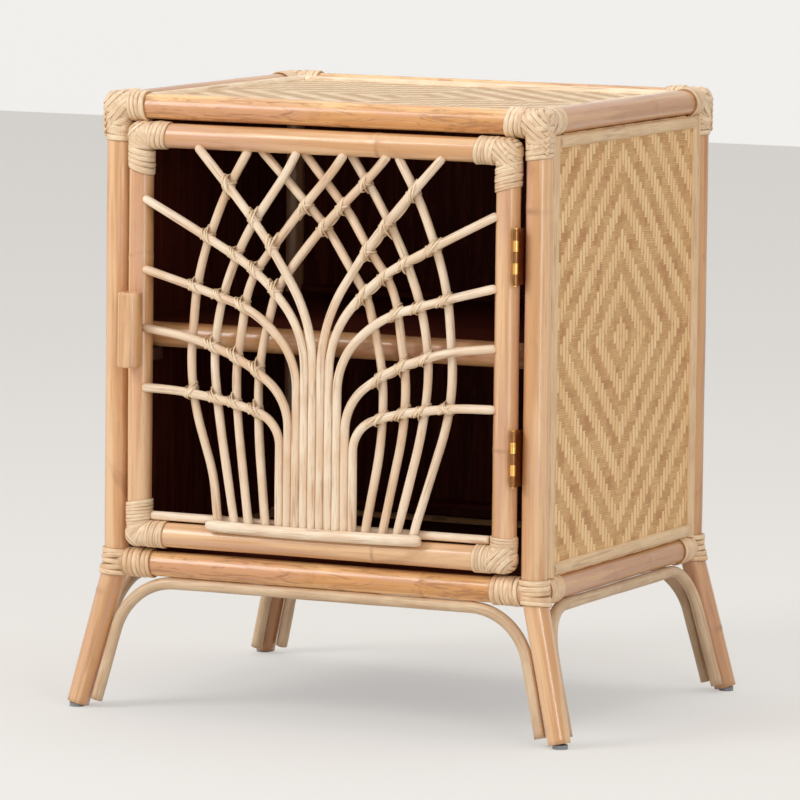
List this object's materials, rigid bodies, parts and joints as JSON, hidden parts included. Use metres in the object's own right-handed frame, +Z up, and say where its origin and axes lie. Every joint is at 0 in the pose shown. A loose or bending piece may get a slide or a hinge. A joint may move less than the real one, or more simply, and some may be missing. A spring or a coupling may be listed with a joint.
{
  "type": "storage side table with door",
  "caption": "Rattan side table on splayed legs: a pole-framed, mat-covered cabinet with a shelf inside, closed by a hinged door of fanned and bowed rods.",
  "frame": {"origin": "middle of the footprint, on the floor under the feet", "axes": "+Z up; +X to the right as seen from the front; +Y to the back, so the door faces -Y"},
  "size_m": [0.5558, 0.4589, 0.6225],
  "materials": {
    "rattan_pole": "clear satin varnish over skinned rattan pole",
    "rattan_core": "clear satin varnish over peeled rattan",
    "rattan_peel": "satin rattan peel, wound",
    "woven_mat": "satin woven rattan skin",
    "stained_board": "dark stain",
    "brass": "dull brass",
    "grey_plastic": "matte",
    "catch_plastic": "matte",
    "steel": "brushed"
  },
  "bodies": {
    "cabinet": {"post_front_left": "rattan_pole", "post_front_right": "rattan_pole", "post_back_left": "rattan_pole", "post_back_right": "rattan_pole", "upper_rail_front": "rattan_pole", "upper_rail_back": "rattan_pole", "upper_rail_left": "rattan_pole", "upper_rail_right": "rattan_pole", "lower_rail_front": "rattan_pole", "lower_rail_back": "rattan_pole", "lower_rail_left": "rattan_pole", "lower_rail_right": "rattan_pole", "shelf_pole": "rattan_pole", "arch_front": "rattan_core", "arch_back": "rattan_core", "arch_left": "rattan_core", "arch_right": "rattan_core", "side_trims_left": "rattan_core", "side_trims_right": "rattan_core", "back_trims": "rattan_core", "top_trims": "rattan_core", "upper_bindings": "rattan_peel", "lower_bindings": "rattan_peel", "side_mat_left": "woven_mat", "side_mat_right": "woven_mat", "back_mat": "woven_mat", "top_mat": "woven_mat", "side_board_left": "stained_board", "side_board_right": "stained_board", "back_board": "stained_board", "top_board": "stained_board", "floor_board": "stained_board", "shelf_board": "stained_board", "shelf_cleats": "stained_board", "back_beads": "stained_board", "hinge_leaves_post": "brass", "hinge_pins": "brass", "foot_glides": "grey_plastic", "catch_magnet": "catch_plastic"},
    "door": {"door_stile_left": "rattan_pole", "door_stile_right": "rattan_pole", "door_rail_lower": "rattan_pole", "door_rail_upper": "rattan_pole", "door_bindings": "rattan_peel", "fan_rods_left": "rattan_core", "fan_rods_right": "rattan_core", "bowed_rods_left": "rattan_core", "bowed_rods_right": "rattan_core", "sill_rod": "rattan_core", "rod_clamp": "rattan_core", "door_handle": "rattan_pole", "hinge_leaves_door": "brass", "catch_strike": "steel"}
  },
  "joints": [
    {"name": "door_hinge", "type": "hinge", "parent": "cabinet", "child": "door", "pos_m": [0.21525, -0.2074, 0.38], "axis": [0, 0, 1], "range_deg": [0, 180]}
  ]
}
